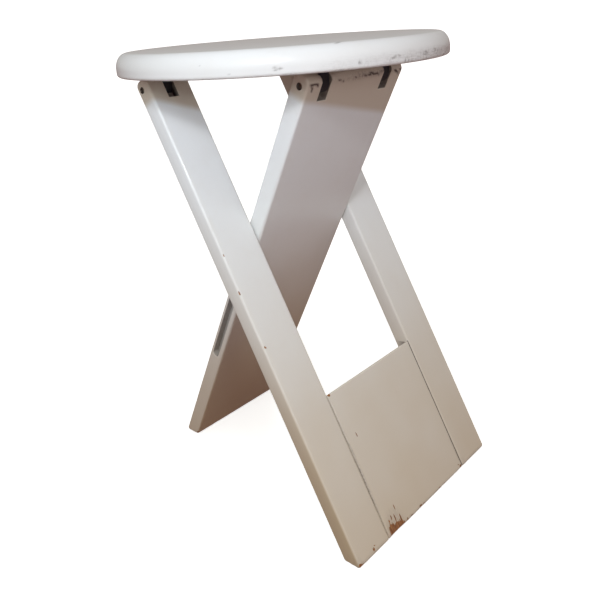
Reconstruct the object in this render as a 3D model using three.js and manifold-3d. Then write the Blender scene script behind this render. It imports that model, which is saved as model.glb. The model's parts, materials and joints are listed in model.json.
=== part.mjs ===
// A round folding stool of lacquered wood, modelled open, in millimetres, +Z up.
// The seat carries two hinge lines along Y. The outer leg frame hangs from the left one (-X) and the
// inner leg board from the right one (+X). They cross like scissors: two guide pins in the frame's
// side boards run in grooves in the inner leg's edges, and let both legs fold flat under the seat.
import * as THREE from 'three';
import * as BufferGeometryUtils from 'three/addons/utils/BufferGeometryUtils.js';
import Module from 'manifold-3d';

const wasm = await Module();
wasm.setup();

// Driving dimensions
const SEAT_HEIGHT = 500;
const SEAT_RADIUS = 171;
const SEAT_THICKNESS = 22.5;
const SEAT_OFFSET = -5; // seat centre along X from the middle of the two hinge lines
const SEAT_TOP_ROUND_WIDTH = 11.5;
const SEAT_TOP_ROUND_DEPTH = 15.5;
const SEAT_BOTTOM_ROUND = 3;

const HINGE_SPACING = 166; // between the two hinge lines
const HINGE_DROP = 14.5; // from the seat's underside down to a hinge line
const LEG_ANGLE = 62.5; // each leg above the floor, open
const OVERALL_WIDTH = 254; // outer frame, along Y

const BOARD_THICKNESS = 19.5;
const BOARD_EDGE_ROUND = 2.5;
const FOOT_ROUND = 3.2;
const SIDE_BOARD_WIDTH = 51.5;
const OUTER_FRONT = 12; // hinge line to the outer frame's front face
const INNER_FRONT = 9.6; // hinge line to the inner leg's front face
const OUTER_TOP = 10; // hinge line to the boards' top end
const INNER_TOP = 10.5;
const TOP_ROUND = 6.5;
const LEG_CLEARANCE = 1.3; // each side, between the inner leg and the side boards

const PANEL_START = 360.5; // hinge line to the bottom panel's top edge, along the frame
const PANEL_EDGE_ROUND = 1.4;
const PANEL_TOP_FALL = 8; // the panel's top edge is bevelled: this much lower at the back face
const DOWEL_RADIUS = 4;
const DOWEL_LENGTH = 30;
const DOWEL_PLACES = [385, 440, 495]; // along the frame

const PIN_RADIUS = 3;
const PIN_HOLE_RADIUS = 3.3;
const PIN_HOLE_DEPTH = 44;
const PIN_RECESS = 3; // end of the pin below the mouth of its hole

const GUIDE_PIN_RADIUS = 2.5;
const GUIDE_PIN_LENGTH = 19;
const GUIDE_PIN_REACH = 8.5; // beyond the side board's inner face
const GUIDE_PIN_ALONG = 180; // hinge line to guide pin, along the frame
const GUIDE_PIN_OFFSET = 0.4; // towards the frame's front face
const GROOVE_WIDTH = 9.3;
const GROOVE_DEPTH = 9;
const GROOVE_OFFSET = -1.15; // towards the inner leg's back face
const GROOVE_END = 366; // hinge line to the groove's lower end, along the inner leg

const STRAP_WIDTH = 12.2;
const STRAP_EYE_RADIUS = 8.6;
const STRAP_THICKNESS = 2.2;
const STRAP_NECK = 3.2;
const STRAP_REACH = 40; // hinge line to the end of the tab
const STRAP_BEND = 2;
const NOTCH_WIDTH = 12.9;
const OUTER_NOTCH_DEPTH = 15.5; // below the hinge line
const INNER_NOTCH_DEPTH = 13.1;
const INNER_STRAP_PLACE = 47.7; // strap centre from the middle of the stool

const SCREW_PLACES = [19, 32]; // along the tab, from the hinge line
const SCREW_LENGTH = 15;
const SCREW_TIP = 3; // the point's length
const SCREW_SHANK_RADIUS = 1.7;
const SCREW_HEAD_RADIUS = 3.4;
const SCREW_HEAD_DEPTH = 1.9;
const SCREW_SLOT_WIDTH = 0.8;
const SCREW_SLOT_DEPTH = 0.7;

const GAP = 0.3; // between pieces that touch
const PAST = 1; // how far a cutting shape runs past what it cuts
const HAIR = 0.03; // keeps a cutting face off the face it would lie in
const MERGE_DISTANCE = 1e-4; // points closer than this are one

// Steps along curves
const CORNER_STEPS = 5;
const EDGE_STEPS = 3;
const ROD_SEGMENTS = 20;
const SLIM_SEGMENTS = 16; // dowels and screws
const GROOVE_SEGMENTS = 10;
const EYE_STEPS = 24;
const SEAT_SEGMENTS = 80;
const SEAT_TOP_STEPS = 8;
const SEAT_BOTTOM_STEPS = 3;

// Derived dimensions
const ALPHA = THREE.MathUtils.degToRad(LEG_ANGLE);
const HINGE_HEIGHT = SEAT_HEIGHT - SEAT_THICKNESS - HINGE_DROP;
const OUTER_BACK = BOARD_THICKNESS - OUTER_FRONT;
const INNER_BACK = BOARD_THICKNESS - INNER_FRONT;
const HALF_WIDTH = OVERALL_WIDTH / 2;
const HALF_OPENING = HALF_WIDTH - SIDE_BOARD_WIDTH;
const HALF_INNER = HALF_OPENING - LEG_CLEARANCE;
const OUTER_STRAP_PLACE = HALF_WIDTH - SIDE_BOARD_WIDTH / 2;
const SIDES = [['left', -1], ['right', 1]];

const WHITE = { color: 0xe4e5e4, roughness: 0.35, metalness: 0 };
const BLACK = { color: 0x1c1c20, roughness: 0.6, metalness: 0 };
const STEEL = { color: 0x8e9093, roughness: 0.35, metalness: 1 };
const BARE_WOOD = { color: 0xb88f60, roughness: 0.7, metalness: 0 };

function solid(geometry) {
  const source = geometry.clone();
  source.deleteAttribute('normal');
  source.deleteAttribute('uv');
  const merged = BufferGeometryUtils.mergeVertices(source, MERGE_DISTANCE);
  return new wasm.Manifold(new wasm.Mesh({
    numProp: 3,
    vertProperties: new Float32Array(merged.attributes.position.array),
    triVerts: new Uint32Array(merged.index.array),
  }));
}

function geometryOf(manifold) {
  const mesh = manifold.getMesh();
  const geometry = new THREE.BufferGeometry();
  geometry.setAttribute('position', new THREE.BufferAttribute(new Float32Array(mesh.vertProperties), 3));
  geometry.setIndex(new THREE.BufferAttribute(new Uint32Array(mesh.triVerts), 1));
  geometry.computeVertexNormals();
  return geometry;
}

function cutAll(geometry, cutters) {
  return geometryOf(cutters.reduce((body, cutter) => body.subtract(solid(cutter)), solid(geometry)));
}

function namedMesh(name, geometry, finish) {
  const mesh = new THREE.Mesh(geometry, new THREE.MeshStandardMaterial(finish));
  mesh.name = name;
  return mesh;
}

// Closed outline from corners [x, y, radius]; a corner with a radius becomes an arc.
function roundedOutline(corners, steps = CORNER_STEPS) {
  const points = [];
  corners.forEach(([x, y, radius], index) => {
    const corner = new THREE.Vector2(x, y);
    if (!radius) {
      points.push(corner);
      return;
    }
    const before = corners[(index + corners.length - 1) % corners.length];
    const after = corners[(index + 1) % corners.length];
    const toBefore = new THREE.Vector2(before[0], before[1]).sub(corner).normalize();
    const toAfter = new THREE.Vector2(after[0], after[1]).sub(corner).normalize();
    const half = Math.acos(toBefore.dot(toAfter)) / 2;
    const middle = toBefore.clone().add(toAfter).normalize();
    const centre = corner.clone().addScaledVector(middle, radius / Math.sin(half));
    const start = corner.clone().addScaledVector(toBefore, radius / Math.tan(half)).sub(centre);
    const turn = Math.sign(toBefore.cross(toAfter)) * (2 * half - Math.PI);
    for (let step = 0; step <= steps; step += 1) {
      const arm = start.clone().rotateAround(new THREE.Vector2(), (turn * step) / steps);
      points.push(centre.clone().add(arm));
    }
  });
  return new THREE.Shape(points);
}

// An XZ outline carried along Y, centred on y = middle.
function alongY(shape, width, middle = 0) {
  const geometry = new THREE.ExtrudeGeometry(shape, { depth: width, bevelEnabled: false });
  geometry.rotateX(Math.PI / 2);
  geometry.translate(0, middle + width / 2, 0);
  return geometry;
}

// A rod along Y, centred on y = middle.
function rodAlongY(radius, length, x, middle, z, segments = ROD_SEGMENTS) {
  const geometry = new THREE.CylinderGeometry(radius, radius, length, segments);
  geometry.translate(x, middle, z);
  return geometry;
}

function boxAt(sizeX, sizeY, sizeZ, x, y, z) {
  const geometry = new THREE.BoxGeometry(sizeX, sizeY, sizeZ);
  geometry.translate(x, y, z);
  return geometry;
}

// Legs are drawn in a frame of their own: origin on the hinge line, +X out of the front face, -Z down
// the leg. The foot is cut so that it lies flat on the floor when the leg stands at its angle.
function footDistance(x, angle) {
  return (HINGE_HEIGHT + x * Math.cos(angle)) / Math.sin(angle);
}

function legProfile(front, back, top, topRound, angle, topFall) {
  return roundedOutline([
    [-back, top - topFall, topRound],
    [-back, -footDistance(-back, angle), FOOT_ROUND],
    [front, -footDistance(front, angle), FOOT_ROUND],
    [front, top, topRound],
  ]);
}

// A board: its side profile carried along Y, with the four long edges rounded.
function legBoard(front, back, top, topRound, angle, width, middle, edgeRound, topFall = 0) {
  const low = middle - width / 2;
  const high = middle + width / 2;
  const section = roundedOutline([
    [-back, low, edgeRound],
    [front, low, edgeRound],
    [front, high, edgeRound],
    [-back, high, edgeRound],
  ], EDGE_STEPS);
  const length = footDistance(front, angle) + footDistance(-back, angle);
  const prism = new THREE.ExtrudeGeometry(section, { depth: length, bevelEnabled: false });
  prism.translate(0, 0, -length + top + PAST);
  const side = alongY(legProfile(front, back, top, topRound, angle, topFall), width + 2 * PAST, middle);
  return geometryOf(solid(prism).intersect(solid(side)));
}

function strapNotch(front, back, depth, middle) {
  const height = depth + BOARD_THICKNESS;
  const thickness = front + back + 2 * PAST;
  return boxAt(thickness, NOTCH_WIDTH, height, (front - back) / 2, middle, height / 2 - depth);
}

// A blind hole for a hinge pin, from the outer face at y = mouth towards the middle of the stool.
function hingePinHole(mouth) {
  const inward = -Math.sign(mouth);
  const length = PIN_HOLE_DEPTH + PAST;
  return rodAlongY(PIN_HOLE_RADIUS, length, 0, mouth + (inward * (PIN_HOLE_DEPTH - PAST)) / 2, 0);
}

function hingePin(mouth) {
  const inward = -Math.sign(mouth);
  const length = PIN_HOLE_DEPTH - PIN_RECESS - GAP;
  return rodAlongY(PIN_RADIUS, length, 0, mouth + inward * (PIN_RECESS + length / 2), 0);
}

function guidePin(side, radius = GUIDE_PIN_RADIUS, extra = 0) {
  const length = GUIDE_PIN_LENGTH + 2 * extra;
  const middle = side * (HALF_OPENING - GUIDE_PIN_REACH + GUIDE_PIN_LENGTH / 2);
  return rodAlongY(radius, length, GUIDE_PIN_OFFSET, middle, -GUIDE_PIN_ALONG);
}

function panelDowel(side, along, radius = DOWEL_RADIUS, extra = 0) {
  const x = (OUTER_FRONT - OUTER_BACK) / 2;
  return rodAlongY(radius, DOWEL_LENGTH + 2 * extra, x, side * HALF_OPENING, -along, SLIM_SEGMENTS);
}

function dowelHoles(side) {
  return DOWEL_PLACES.map((along) => panelDowel(side, along, DOWEL_RADIUS + GAP, GAP));
}

function sideBoard(side) {
  const middle = side * OUTER_STRAP_PLACE;
  const board = legBoard(OUTER_FRONT, OUTER_BACK, OUTER_TOP, TOP_ROUND, ALPHA,
    SIDE_BOARD_WIDTH, middle, BOARD_EDGE_ROUND);
  return cutAll(board, [
    strapNotch(OUTER_FRONT, OUTER_BACK, OUTER_NOTCH_DEPTH, middle),
    hingePinHole(side * HALF_WIDTH),
    guidePin(side, GUIDE_PIN_RADIUS + GAP, GAP),
    ...dowelHoles(side),
  ]);
}

function bottomPanel() {
  const width = 2 * (HALF_OPENING - GAP);
  const board = legBoard(OUTER_FRONT, OUTER_BACK, -PANEL_START, PANEL_EDGE_ROUND, ALPHA,
    width, 0, PANEL_EDGE_ROUND, PANEL_TOP_FALL);
  return cutAll(board, [...dowelHoles(-1), ...dowelHoles(1)]);
}

// Where the guide pin stands in the inner leg's own frame when the stool is open.
function guidePinInInnerLeg() {
  const pin = new THREE.Vector2(GUIDE_PIN_OFFSET, -GUIDE_PIN_ALONG);
  pin.rotateAround(new THREE.Vector2(), Math.PI / 2 - ALPHA);
  pin.x -= HINGE_SPACING;
  return pin.rotateAround(new THREE.Vector2(), Math.PI / 2 - ALPHA);
}

// The groove's upper end is the open stop: the guide pin stops GAP short of it.
function edgeGroove(side) {
  const radius = GROOVE_WIDTH / 2;
  const pin = guidePinInInnerLeg();
  const reach = radius - GUIDE_PIN_RADIUS - GAP;
  const rise = Math.sqrt(reach ** 2 - (pin.x - GROOVE_OFFSET) ** 2);
  const upper = pin.y - rise;
  const lower = radius - GROOVE_END;
  const outline = new THREE.Shape();
  outline.absarc(GROOVE_OFFSET, upper, radius, 0, Math.PI);
  outline.absarc(GROOVE_OFFSET, lower, radius, Math.PI, 2 * Math.PI);
  const geometry = new THREE.ExtrudeGeometry(outline, {
    depth: GROOVE_DEPTH + PAST, bevelEnabled: false, curveSegments: GROOVE_SEGMENTS,
  });
  geometry.rotateX(Math.PI / 2);
  const outerFace = side * (HALF_INNER + PAST);
  geometry.translate(0, side > 0 ? outerFace : outerFace + GROOVE_DEPTH + PAST, 0);
  return geometry;
}

function innerLeg() {
  const board = legBoard(INNER_FRONT, INNER_BACK, INNER_TOP, TOP_ROUND, Math.PI - ALPHA,
    2 * HALF_INNER, 0, BOARD_EDGE_ROUND);
  const cutters = SIDES.flatMap(([, side]) => [
    strapNotch(INNER_FRONT, INNER_BACK, INNER_NOTCH_DEPTH, side * INNER_STRAP_PLACE),
    hingePinHole(side * HALF_INNER),
    edgeGroove(side),
  ]);
  return cutAll(board, cutters);
}

// A wood screw along Z: countersunk head at the bottom, point up.
function screwProfile(grow) {
  const radius = SCREW_SHANK_RADIUS + grow;
  return [
    [0, 0],
    [SCREW_HEAD_RADIUS + grow, 0],
    [radius, SCREW_HEAD_DEPTH],
    [radius, SCREW_LENGTH - SCREW_TIP],
    [0, SCREW_LENGTH + grow],
  ].map(([x, y]) => new THREE.Vector2(x, y));
}

function screwBody(grow) {
  const geometry = new THREE.LatheGeometry(screwProfile(grow), SLIM_SEGMENTS);
  geometry.rotateX(Math.PI / 2);
  return geometry;
}

function strapScrew() {
  const slot = boxAt(2 * SCREW_HEAD_RADIUS + PAST, SCREW_SLOT_WIDTH, 2 * SCREW_SLOT_DEPTH, 0, 0, 0);
  return cutAll(screwBody(0), [slot]);
}

// The hinge strap: an eye round the pin, a neck beside it and a flat tab screwed under the seat.
function hingeStrap() {
  const tabTop = HINGE_DROP - GAP;
  const tabBottom = tabTop - STRAP_THICKNESS;
  const neckInside = STRAP_EYE_RADIUS - STRAP_NECK;
  const start = Math.acos(neckInside / STRAP_EYE_RADIUS);
  const points = [];
  for (let step = 0; step <= EYE_STEPS; step += 1) {
    const angle = start + ((2 * Math.PI - start) * step) / EYE_STEPS;
    points.push([STRAP_EYE_RADIUS * Math.cos(angle), STRAP_EYE_RADIUS * Math.sin(angle)]);
  }
  points.push(
    [STRAP_EYE_RADIUS, tabBottom, STRAP_BEND],
    [STRAP_REACH, tabBottom],
    [STRAP_REACH, tabTop],
    [neckInside, tabTop, STRAP_BEND],
  );
  const outline = roundedOutline(points);
  const bore = new THREE.Path();
  bore.absarc(0, 0, PIN_HOLE_RADIUS, 0, 2 * Math.PI, true);
  outline.holes.push(bore);
  const body = alongY(outline, STRAP_WIDTH);
  return cutAll(body, SCREW_PLACES.map((x) => {
    const hole = screwBody(GAP);
    hole.translate(x, 0, tabBottom - HAIR);
    return hole;
  }));
}

function seatProfile() {
  const side = SEAT_THICKNESS - SEAT_TOP_ROUND_DEPTH;
  const points = [new THREE.Vector2(0, 0)];
  for (let step = 0; step <= SEAT_BOTTOM_STEPS; step += 1) {
    const angle = (Math.PI / 2) * (step / SEAT_BOTTOM_STEPS);
    points.push(new THREE.Vector2(
      SEAT_RADIUS - SEAT_BOTTOM_ROUND + SEAT_BOTTOM_ROUND * Math.sin(angle),
      SEAT_BOTTOM_ROUND - SEAT_BOTTOM_ROUND * Math.cos(angle),
    ));
  }
  for (let step = 0; step <= SEAT_TOP_STEPS; step += 1) {
    const angle = (Math.PI / 2) * (step / SEAT_TOP_STEPS);
    points.push(new THREE.Vector2(
      SEAT_RADIUS - SEAT_TOP_ROUND_WIDTH + SEAT_TOP_ROUND_WIDTH * Math.cos(angle),
      side + SEAT_TOP_ROUND_DEPTH * Math.sin(angle),
    ));
  }
  points.push(new THREE.Vector2(0, SEAT_THICKNESS));
  return points;
}

// Every strap: its node's first name, its hinge line and its place along Y.
const STRAPS = SIDES.flatMap(([sideName, side]) => [
  [`outer_strap_${sideName}`, -HINGE_SPACING / 2, side * OUTER_STRAP_PLACE],
  [`inner_strap_${sideName}`, HINGE_SPACING / 2, side * INNER_STRAP_PLACE],
]);
const SCREW_BASE = HINGE_HEIGHT + HINGE_DROP - GAP - STRAP_THICKNESS;

function seat() {
  const disc = new THREE.LatheGeometry(seatProfile(), SEAT_SEGMENTS);
  disc.rotateX(Math.PI / 2);
  disc.translate(SEAT_OFFSET, 0, SEAT_HEIGHT - SEAT_THICKNESS);
  const pilotHoles = STRAPS.flatMap(([, hingeX, y]) => SCREW_PLACES.map((along) => {
    const hole = screwBody(GAP);
    hole.translate(hingeX + along, y, SCREW_BASE);
    return hole;
  }));
  return cutAll(disc, pilotHoles);
}

function straps() {
  return STRAPS.flatMap(([name, hingeX, y]) => {
    const strap = namedMesh(name, hingeStrap(), BLACK);
    strap.position.set(hingeX, y, HINGE_HEIGHT);
    const screws = SCREW_PLACES.map((along, index) => {
      const screw = namedMesh(`${name}_screw_${index + 1}`, strapScrew(), STEEL);
      screw.position.set(hingeX + along, y, SCREW_BASE);
      return screw;
    });
    return [strap, ...screws];
  });
}

function outerFrame() {
  const frame = new THREE.Group();
  SIDES.forEach(([sideName, side]) => {
    frame.add(
      namedMesh(`side_board_${sideName}`, sideBoard(side), WHITE),
      namedMesh(`outer_hinge_pin_${sideName}`, hingePin(side * HALF_WIDTH), STEEL),
      namedMesh(`guide_pin_${sideName}`, guidePin(side), STEEL),
    );
    DOWEL_PLACES.forEach((along, index) => {
      frame.add(namedMesh(`panel_dowel_${sideName}_${index + 1}`, panelDowel(side, along), BARE_WOOD));
    });
  });
  frame.add(namedMesh('bottom_panel', bottomPanel(), WHITE));
  frame.position.set(-HINGE_SPACING / 2, 0, HINGE_HEIGHT);
  frame.rotation.y = ALPHA - Math.PI / 2;
  return frame;
}

function innerFrame() {
  const frame = new THREE.Group();
  frame.add(namedMesh('inner_leg', innerLeg(), WHITE));
  SIDES.forEach(([sideName, side]) => {
    frame.add(namedMesh(`inner_hinge_pin_${sideName}`, hingePin(side * HALF_INNER), STEEL));
  });
  frame.position.set(HINGE_SPACING / 2, 0, HINGE_HEIGHT);
  frame.rotation.y = Math.PI / 2 - ALPHA;
  return frame;
}

// The origin is on the floor, under the middle of the stool's overall length and width.
const group = new THREE.Group();
group.add(namedMesh('seat', seat(), WHITE), ...straps(), outerFrame(), innerFrame());
const extent = new THREE.Box3().setFromObject(group, true);
group.position.x = -(extent.min.x + extent.max.x) / 2;

export default group;
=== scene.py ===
"""A round folding stool of white lacquered wood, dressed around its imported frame.

The seat is a thick disc. Two side boards and a bottom panel make the outer leg, one wide board makes the
inner leg, and black plastic straps under the seat hold both by short steel pins. Lengths are in metres, in
the frame's own axes: +Z up, hinge lines along Y, origin on the floor under the middle of the open stool.
"""

import json
import logging
import math
from dataclasses import dataclass, field
from enum import Enum

import bpy
import numpy as np
from mathutils import Matrix, Vector


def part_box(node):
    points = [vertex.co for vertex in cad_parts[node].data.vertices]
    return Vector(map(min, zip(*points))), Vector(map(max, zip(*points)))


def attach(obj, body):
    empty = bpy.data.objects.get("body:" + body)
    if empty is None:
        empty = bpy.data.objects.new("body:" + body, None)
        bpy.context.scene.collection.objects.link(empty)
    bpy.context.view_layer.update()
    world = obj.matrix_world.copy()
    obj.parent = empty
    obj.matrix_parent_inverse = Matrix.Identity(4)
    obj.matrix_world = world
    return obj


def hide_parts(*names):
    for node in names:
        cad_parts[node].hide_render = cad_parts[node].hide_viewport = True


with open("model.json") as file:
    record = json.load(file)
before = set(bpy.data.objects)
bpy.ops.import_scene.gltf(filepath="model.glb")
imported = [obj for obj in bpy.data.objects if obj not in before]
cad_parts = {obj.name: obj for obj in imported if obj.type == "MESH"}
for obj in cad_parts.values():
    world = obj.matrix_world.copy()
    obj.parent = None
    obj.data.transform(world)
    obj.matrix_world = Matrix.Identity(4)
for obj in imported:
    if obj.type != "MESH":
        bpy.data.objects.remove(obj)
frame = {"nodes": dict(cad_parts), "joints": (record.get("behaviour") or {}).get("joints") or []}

log = logging.getLogger("folding_stool")

MM = 0.001
SEAT_BODY = "seat_body"
OUTER_BODY = "outer_leg"
INNER_BODY = "inner_leg_body"
LEG_ANGLE = math.radians(62.5)
BOARD_THICKNESS = 19.5 * MM
PAST = 1 * MM  # how far a cutting shape runs past what it cuts
TOUCH = 0.05 * MM  # how close to a cut's wall a point counts as on it
GLUE_LINE = 0.6 * MM  # half the width of a glued joint's dirt line, darkened by painted shade on the +Y side
GLUE_START = 1 * MM  # how far below the panel's top edge that dirt and painted shade begin
SHADE_END = 48 * MM  # the furthest down a leg that the seat's painted shadow reaches
SHADE_BLUR = 7 * MM  # the width of that painted shadow's soft edge


class Side(Enum):
    """The two sides of the stool, as signs along Y."""

    LEFT = -1
    RIGHT = 1

    @property
    def word(self) -> str:
        """The side's word in node names."""
        return self.name.lower()


class Caps(Enum):
    """How the two ends of a stack of outlines are closed."""

    LADDER = "ladder"
    POLYGON = "polygon"


# Surfaces


@dataclass(frozen=True)
class Surface:
    """A closed surface: points, and faces with three, four or more corners."""

    points: np.ndarray
    faces: list[tuple[int, ...]]

    def moved(self, x: float, y: float, z: float) -> "Surface":
        """The same surface, shifted."""
        return Surface(self.points + np.array([x, y, z]), self.faces)

    def outward(self) -> "Surface":
        """The same surface with its faces turned to point outwards.

        The sign of the enclosed volume, summed over the faces as fans of triangles, says which way they
        point.

        Returns:
            The surface, with every face reversed if the volume came out negative.
        """
        corners = np.array([[f[0], f[i], f[i + 1]] for f in self.faces for i in range(1, len(f) - 1)])
        a, b, c = (self.points[corners[:, i]] for i in range(3))
        if np.einsum("ij,ij->i", a, np.cross(b, c)).sum() >= 0:
            return self
        return Surface(self.points, [tuple(reversed(f)) for f in self.faces])


def unit(vectors: np.ndarray) -> np.ndarray:
    """Rows of vectors scaled to length one."""
    return vectors / np.linalg.norm(vectors, axis=-1, keepdims=True)


def rounded_outline(
    corners: np.ndarray, radii: np.ndarray, arc_steps: int, edge_steps: tuple[int, ...]
) -> np.ndarray:
    """A closed outline whose corners are arcs, starting in the middle of its last edge.

    An arc of radius r at a corner with half angle h starts r / tan(h) before the corner, and its centre lies
    r / sin(h) from the corner along the bisector. The edges between the arcs are split evenly.

    Args:
        corners: the sharp corners in order, one row each.
        radii: each corner's radius.
        arc_steps: steps along each arc.
        edge_steps: steps along the edge after each corner. The last one is even.

    Returns:
        The outline's points, one row each.
    """
    to_before = unit(np.roll(corners, 1, axis=0) - corners)
    to_after = unit(np.roll(corners, -1, axis=0) - corners)
    half = np.arccos(np.clip((to_before * to_after).sum(axis=1), -1, 1)) / 2
    centres = corners + unit(to_before + to_after) * (radii / np.sin(half))[:, None]
    starts = corners + to_before * (radii / np.tan(half))[:, None] - centres
    ends = corners + to_after * (radii / np.tan(half))[:, None]
    cross = to_before[:, 0] * to_after[:, 1] - to_before[:, 1] * to_after[:, 0]
    turns = np.sign(cross) * (2 * half - math.pi)
    first = np.arctan2(starts[:, 1], starts[:, 0])[:, None]
    angles = first + turns[:, None] * np.linspace(0, 1, arc_steps + 1)
    arcs = centres[:, None, :] + radii[:, None, None] * np.stack([np.cos(angles), np.sin(angles)], axis=-1)
    next_starts = np.roll(centres + starts, -1, axis=0)
    pieces = []
    for index, steps in enumerate(edge_steps):
        share = np.linspace(0, 1, steps + 1)[1:-1, None]
        pieces += [arcs[index], ends[index] + share * (next_starts[index] - ends[index])]
    loop = np.concatenate(pieces)
    return np.roll(loop, edge_steps[-1] // 2, axis=0)


def circle_outline(radius: float, steps: int) -> np.ndarray:
    """A circle's points, anticlockwise from its top."""
    angles = math.pi / 2 + np.linspace(0, 2 * math.pi, steps, endpoint=False)
    return radius * np.stack([np.cos(angles), np.sin(angles)], axis=1)


def slot_outline(centre: float, start: float, end: float, radius: float, steps: int) -> np.ndarray:
    """A slot with round ends: half circles about (centre, start) and (centre, end), joined by straights.

    Args:
        centre: the slot's middle line.
        start: the middle of its upper half circle.
        end: the middle of its lower half circle.
        radius: both half circles' radius.
        steps: steps along each of them.

    Returns:
        The outline's points, one row each.
    """
    half = np.linspace(0, math.pi, steps + 1)
    low = np.stack([centre + radius * np.cos(half), end + radius * np.sin(half)], axis=1)
    high = np.stack([centre - radius * np.cos(half), start - radius * np.sin(half)], axis=1)
    return np.roll(np.concatenate([low, high]), -(steps // 2), axis=0)


def outline_normals(outline: np.ndarray) -> np.ndarray:
    """Unit normals that point out of a closed outline: its tangents, turned a quarter away from its inside.

    Args:
        outline: the outline's points.

    Returns:
        One normal for each point.
    """
    tangents = unit(np.roll(outline, -1, axis=0) - np.roll(outline, 1, axis=0))
    normals = np.stack([tangents[:, 1], -tangents[:, 0]], axis=1)
    following = np.roll(outline, -1, axis=0)
    area = (outline[:, 0] * following[:, 1] - outline[:, 1] * following[:, 0]).sum()
    return normals * np.sign(area)


def ring_faces(rings: int, columns: int) -> list[tuple[int, ...]]:
    """The four-cornered faces between neighbours in a stack of closed rings of points.

    Args:
        rings: how many rings there are, stored one after another.
        columns: how many points each has.

    Returns:
        The faces, ring by ring.
    """
    row, column = np.meshgrid(np.arange(rings - 1), np.arange(columns), indexing="ij")
    here, there = row * columns, (row + 1) * columns
    after = (column + 1) % columns
    corners = np.stack([here + column, here + after, there + after, there + column], axis=-1)
    return [tuple(face) for face in corners.reshape(-1, 4).tolist()]


def outline_stack(outline: np.ndarray, grow: np.ndarray, stations: np.ndarray, caps: Caps) -> Surface:
    """A solid made of copies of one outline, each grown along its normals and set at its own station.

    Point (i, j) is outline j plus grow i times normal j, at station i. The first and last copies are closed
    either by a ladder of faces between the outline's two halves or by one polygon.

    Args:
        outline: the closed outline, one row of two coordinates each.
        grow: how far each copy is grown outwards. Negative shrinks it.
        stations: each copy's place along the third axis.
        caps: how both ends are closed.

    Returns:
        The surface, with the outline's coordinates first and last and the station between them.
    """
    rows, columns = len(stations), len(outline)
    spread = outline[None] + grow[:, None, None] * outline_normals(outline)[None]
    depth = np.broadcast_to(stations[:, None], (rows, columns))
    points = np.stack([spread[..., 0], depth, spread[..., 1]], axis=-1).reshape(-1, 3)
    faces = ring_faces(rows, columns)
    last = (rows - 1) * columns
    if caps is Caps.POLYGON:
        faces += [tuple(range(columns - 1, -1, -1)), tuple(range(last, last + columns))]
    else:
        steps = np.arange(1, columns // 2 - 1 + columns % 2)
        ladder = np.stack([steps, steps + 1, columns - steps - 1, columns - steps], axis=1)
        ladder = [tuple(dict.fromkeys(face)) for face in ladder.tolist()]
        ladder.append((0, 1, columns - 1))
        if columns % 2 == 0:
            half = columns // 2
            ladder.append((half - 1, half, half + 1))
        faces += [tuple(reversed(face)) for face in ladder]
        faces += [tuple(index + last for index in face) for face in ladder]
    return Surface(points, faces)


def rounded_slab(
    outline: np.ndarray,
    low: float,
    high: float,
    edge_round: float,
    across_steps: int,
    caps: Caps = Caps.LADDER,
) -> Surface:
    """A slab with one outline whose two rims are rounded.

    Along the thickness the outline is drawn in by r (1 - sin a) at r (1 - cos a) from each face, for a from
    0 to a right angle, and isn't drawn in between them.

    Args:
        outline: the slab's outline.
        low: the lower face's place along the thickness.
        high: the upper face's place.
        edge_round: the rims' radius r.
        across_steps: steps between the two rims.
        caps: how the faces are closed.

    Returns:
        The slab's surface.
    """
    angles = np.linspace(0, math.pi / 2, 6)
    inset = edge_round * (1 - np.sin(angles))
    rise = edge_round * (1 - np.cos(angles))
    middle = np.linspace(low + edge_round, high - edge_round, across_steps + 1)[1:-1]
    grow = -np.concatenate([inset, np.zeros_like(middle), inset[::-1]])
    stations = np.concatenate([low + rise, middle, high - rise[::-1]])
    return outline_stack(outline, grow, stations, caps)


def flared_stack(outline: np.ndarray, mouth: float, end: float, lip: float, beyond: float) -> Surface:
    """A cutting shape whose outline flares in a quarter round where it leaves the wood.

    Within the lip's width of the mouth the outline grows by r - sqrt(r^2 - u^2), where u is the way into the
    lip. It runs on past the mouth at its full growth, and straight to its end on the other side.

    Args:
        outline: the cut's outline.
        mouth: the place of the face that it leaves through.
        end: the place of its far end.
        lip: the quarter round's radius r.
        beyond: how far it runs past the mouth.

    Returns:
        The cutting surface.
    """
    out = math.copysign(1, mouth - end)
    angles = np.linspace(0, math.pi / 2, 5)
    grow = np.concatenate([[0], lip * (1 - np.cos(angles)), [lip]])
    stations = np.concatenate([[end], mouth - out * lip + out * lip * np.sin(angles), [mouth + out * beyond]])
    return outline_stack(outline, grow, stations, Caps.LADDER)


def turned_surface(profile: np.ndarray, steps: int) -> Surface:
    """A profile of (radius, height) rows turned about Z. Its first and last rows lie on the axis.

    Point (i, j) is at radius r_i and angle 2 pi j / steps, and each end is closed by a fan from one point.

    Args:
        profile: the profile, from the bottom's centre to the top's.
        steps: steps round the axis.

    Returns:
        The turned surface.
    """
    rings = profile[1:-1]
    angles = np.linspace(0, 2 * math.pi, steps, endpoint=False)
    points = np.stack(
        [
            rings[:, :1] * np.cos(angles),
            rings[:, :1] * np.sin(angles),
            np.broadcast_to(rings[:, 1:], (len(rings), steps)),
        ],
        axis=-1,
    ).reshape(-1, 3)
    poles = np.array([[0, 0, profile[0, 1]], [0, 0, profile[-1, 1]]])
    bottom, top, last = len(points), len(points) + 1, (len(rings) - 1) * steps
    fans = [(bottom, (j + 1) % steps, j) for j in range(steps)]
    fans += [(top, last + j, last + (j + 1) % steps) for j in range(steps)]
    return Surface(np.concatenate([points, poles]), ring_faces(len(rings), steps) + fans)


# Objects


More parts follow.
